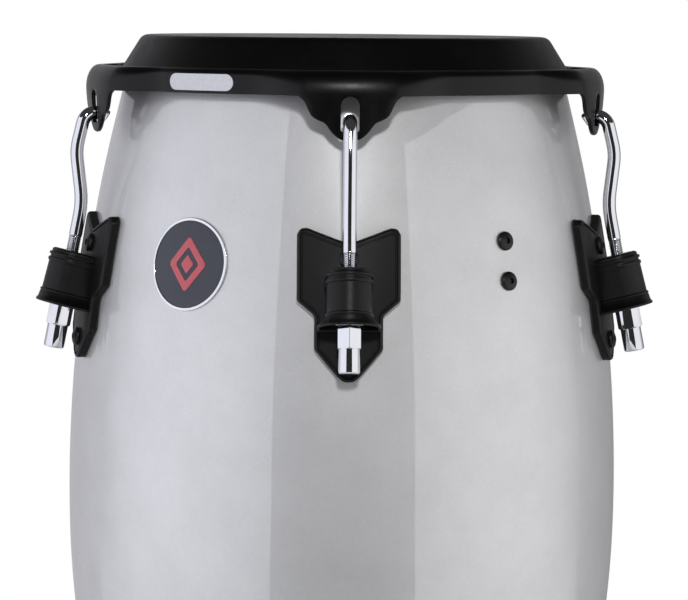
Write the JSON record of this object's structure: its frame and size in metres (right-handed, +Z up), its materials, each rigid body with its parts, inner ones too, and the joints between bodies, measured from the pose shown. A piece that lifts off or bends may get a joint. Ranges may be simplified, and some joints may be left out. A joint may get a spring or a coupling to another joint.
{
  "type": "conga drum",
  "caption": "Tall barrel-shaped hand drum: glossy moulded shell open at the foot, black head pulled down by a rim with slotted ears and hooked tuning rods in cast side lugs.",
  "frame": {"origin": "on the floor, at the centre of the box round the drum; the drum's own axis stands 15 mm behind it", "axes": "+Z up along the drum's axis, -Y towards the front lug"},
  "size_m": [0.446, 0.4362, 0.762],
  "materials": {
    "shell_lacquer": "silver-grey metallic lacquer on glass-fibre, high gloss",
    "skin": "black drum skin, slight sheen",
    "satin_black": "satin black powder coat",
    "black_steel": "black oxide steel",
    "chrome": "polished chrome plate",
    "zinc_steel": "zinc-plated steel",
    "rubber": "matt black rubber",
    "badge_metal": "polished border round a dark satin field"
  },
  "bodies": {
    "drum": {"shell": "shell_lacquer", "base_ring": "rubber", "head_membrane": "skin", "badge": "badge_metal", "accessory_plate": "zinc_steel", "accessory_bolt_1": "black_steel", "accessory_bolt_2": "black_steel", "lug_casting_1": "satin_black", "lug_gasket_1": "rubber", "nut_washer_1": "chrome", "upper_bolt_1": "black_steel", "lower_bolt_1": "black_steel", "upper_inner_nut_1": "zinc_steel", "lower_inner_nut_1": "zinc_steel", "backing_plate_1": "zinc_steel", "lug_casting_2": "satin_black", "lug_gasket_2": "rubber", "nut_washer_2": "chrome", "upper_bolt_2": "black_steel", "lower_bolt_2": "black_steel", "upper_inner_nut_2": "zinc_steel", "lower_inner_nut_2": "zinc_steel", "backing_plate_2": "zinc_steel", "lug_casting_3": "satin_black", "lug_gasket_3": "rubber", "nut_washer_3": "chrome", "upper_bolt_3": "black_steel", "lower_bolt_3": "black_steel", "upper_inner_nut_3": "zinc_steel", "lower_inner_nut_3": "zinc_steel", "backing_plate_3": "zinc_steel", "lug_casting_4": "satin_black", "lug_gasket_4": "rubber", "nut_washer_4": "chrome", "upper_bolt_4": "black_steel", "lower_bolt_4": "black_steel", "upper_inner_nut_4": "zinc_steel", "lower_inner_nut_4": "zinc_steel", "backing_plate_4": "zinc_steel", "lug_casting_5": "satin_black", "lug_gasket_5": "rubber", "nut_washer_5": "chrome", "upper_bolt_5": "black_steel", "lower_bolt_5": "black_steel", "upper_inner_nut_5": "zinc_steel", "lower_inner_nut_5": "zinc_steel", "backing_plate_5": "zinc_steel"},
    "rim": {"counterhoop": "satin_black", "flesh_hoop": "black_steel", "head_collar": "skin"},
    "rod_1": {"tension_rod_1": "chrome"},
    "nut_1": {"tension_nut_1": "chrome"},
    "rod_2": {"tension_rod_2": "chrome"},
    "nut_2": {"tension_nut_2": "chrome"},
    "rod_3": {"tension_rod_3": "chrome"},
    "nut_3": {"tension_nut_3": "chrome"},
    "rod_4": {"tension_rod_4": "chrome"},
    "nut_4": {"tension_nut_4": "chrome"},
    "rod_5": {"tension_rod_5": "chrome"},
    "nut_5": {"tension_nut_5": "chrome"}
  },
  "joints": [
    {"name": "nut_1_turn", "type": "hinge", "parent": "drum", "child": "nut_1", "pos_m": [0, -0.19423, 0.594], "axis": [0, 0.1978, 0.9802], "range_deg": [-1440, 900]},
    {"name": "rod_1_slide", "type": "slide", "parent": "drum", "child": "rod_1", "axis": [0, 0.1978, 0.9802], "range_m": [-0.00375, 0.00601]},
    {"name": "nut_2_turn", "type": "hinge", "parent": "drum", "child": "nut_2", "pos_m": [0.19917, -0.04953, 0.594], "axis": [-0.1881, 0.0611, 0.9802], "range_deg": [-1440, 900]},
    {"name": "rod_2_slide", "type": "slide", "parent": "drum", "child": "rod_2", "axis": [-0.1881, 0.0611, 0.9802], "range_m": [-0.00375, 0.00601]},
    {"name": "nut_3_turn", "type": "hinge", "parent": "drum", "child": "nut_3", "pos_m": [0.12309, 0.1846, 0.594], "axis": [-0.1163, -0.16, 0.9802], "range_deg": [-1440, 900]},
    {"name": "rod_3_slide", "type": "slide", "parent": "drum", "child": "rod_3", "axis": [-0.1163, -0.16, 0.9802], "range_m": [-0.00375, 0.00601]},
    {"name": "nut_4_turn", "type": "hinge", "parent": "drum", "child": "nut_4", "pos_m": [-0.12309, 0.1846, 0.594], "axis": [0.1163, -0.16, 0.9802], "range_deg": [-1440, 900]},
    {"name": "rod_4_slide", "type": "slide", "parent": "drum", "child": "rod_4", "axis": [0.1163, -0.16, 0.9802], "range_m": [-0.00375, 0.00601]},
    {"name": "nut_5_turn", "type": "hinge", "parent": "drum", "child": "nut_5", "pos_m": [-0.19917, -0.04953, 0.594], "axis": [0.1881, 0.0611, 0.9802], "range_deg": [-1440, 900]},
    {"name": "rod_5_slide", "type": "slide", "parent": "drum", "child": "rod_5", "axis": [0.1881, 0.0611, 0.9802], "range_m": [-0.00375, 0.00601]},
    {"name": "rim_slide", "type": "slide", "parent": "drum", "child": "rim", "axis": [0, 0, 1], "range_m": [-0.00367, 0.00588], "deforming": ["head_collar"]}
  ],
  "couplings": [
    {"joint": "nut_1_turn", "follows": "rim_slide", "rad_per_m": -4273.2},
    {"joint": "rod_1_slide", "follows": "rim_slide", "ratio": 1.0202},
    {"joint": "nut_2_turn", "follows": "rim_slide", "rad_per_m": -4273.2},
    {"joint": "rod_2_slide", "follows": "rim_slide", "ratio": 1.0202},
    {"joint": "nut_3_turn", "follows": "rim_slide", "rad_per_m": -4273.2},
    {"joint": "rod_3_slide", "follows": "rim_slide", "ratio": 1.0202},
    {"joint": "nut_4_turn", "follows": "rim_slide", "rad_per_m": -4273.2},
    {"joint": "rod_4_slide", "follows": "rim_slide", "ratio": 1.0202},
    {"joint": "nut_5_turn", "follows": "rim_slide", "rad_per_m": -4273.2},
    {"joint": "rod_5_slide", "follows": "rim_slide", "ratio": 1.0202}
  ]
}
